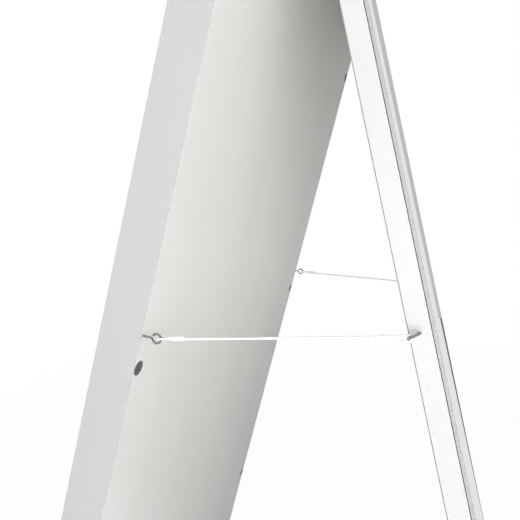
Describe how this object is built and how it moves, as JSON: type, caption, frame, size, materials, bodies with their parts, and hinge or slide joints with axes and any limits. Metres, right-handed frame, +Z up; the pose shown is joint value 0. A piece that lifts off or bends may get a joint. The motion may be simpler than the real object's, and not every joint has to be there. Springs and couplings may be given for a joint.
{
  "type": "floor mirror",
  "caption": "Leaning floor mirror on a lacquered board, held as an A-frame by a hinged support panel and white stay cords between screw eyes.",
  "frame": {"origin": "centre of the footprint's box, on the floor under the feet", "axes": "+X along the width, -Y the way the mirror faces, +Z up"},
  "size_m": [0.6382, 0.5881, 1.5676],
  "materials": {
    "mirror_glass": "gloss",
    "mounting_tape": "matte",
    "white_lacquer": "satin",
    "support_gloss": "gloss",
    "support_satin": "satin",
    "raw_wood": "matte",
    "card_core": "matte",
    "steel_hardware": "satin",
    "cam_zinc": "satin",
    "white_cord": "satin",
    "white_sleeve": "satin",
    "foot_rubber": "matte"
  },
  "bodies": {
    "mirror_panel": {"mirror_glass": "mirror_glass", "mounting_tape": "mounting_tape", "mirror_board": "white_lacquer", "mirror_eye_left": "steel_hardware", "mirror_eye_right": "steel_hardware", "hinge_left_mirror_leaf": "steel_hardware", "hinge_right_mirror_leaf": "steel_hardware", "hinge_left_pin": "steel_hardware", "hinge_right_pin": "steel_hardware", "mirror_hinge_screws": "steel_hardware", "mirror_foot_left": "foot_rubber", "mirror_foot_right": "foot_rubber", "stay_cord_left": "white_cord", "stay_cord_right": "white_cord", "cord_sleeves_left": "white_sleeve", "cord_sleeves_right": "white_sleeve"},
    "rear_support": {"rear_inner_skin": "support_gloss", "rear_outer_skin": "support_satin", "rear_stile_left": "raw_wood", "rear_stile_right": "raw_wood", "rear_top_rail": "raw_wood", "rear_middle_rail": "raw_wood", "rear_bottom_rail": "raw_wood", "rear_core_upper": "card_core", "rear_core_lower": "card_core", "rear_edge_left": "support_satin", "rear_edge_right": "support_satin", "rear_edge_top": "support_satin", "cam_nuts_left": "cam_zinc", "cam_nuts_right": "cam_zinc", "cam_bolts_left": "steel_hardware", "cam_bolts_right": "steel_hardware", "dowels_left": "raw_wood", "dowels_right": "raw_wood", "rear_eye_left": "steel_hardware", "rear_eye_right": "steel_hardware", "hinge_left_rear_leaf": "steel_hardware", "hinge_right_rear_leaf": "steel_hardware", "rear_hinge_screws": "steel_hardware", "rear_foot_left": "foot_rubber", "rear_foot_right": "foot_rubber"}
  },
  "joints": [
    {"name": "fold", "type": "hinge", "parent": "mirror_panel", "child": "rear_support", "pos_m": [0, -0.03329, 1.06277], "axis": [1, 0, 0], "range_deg": [-25.8, 0], "deforming": ["stay_cord_left", "stay_cord_right", "cord_sleeves_left", "cord_sleeves_right"]}
  ]
}
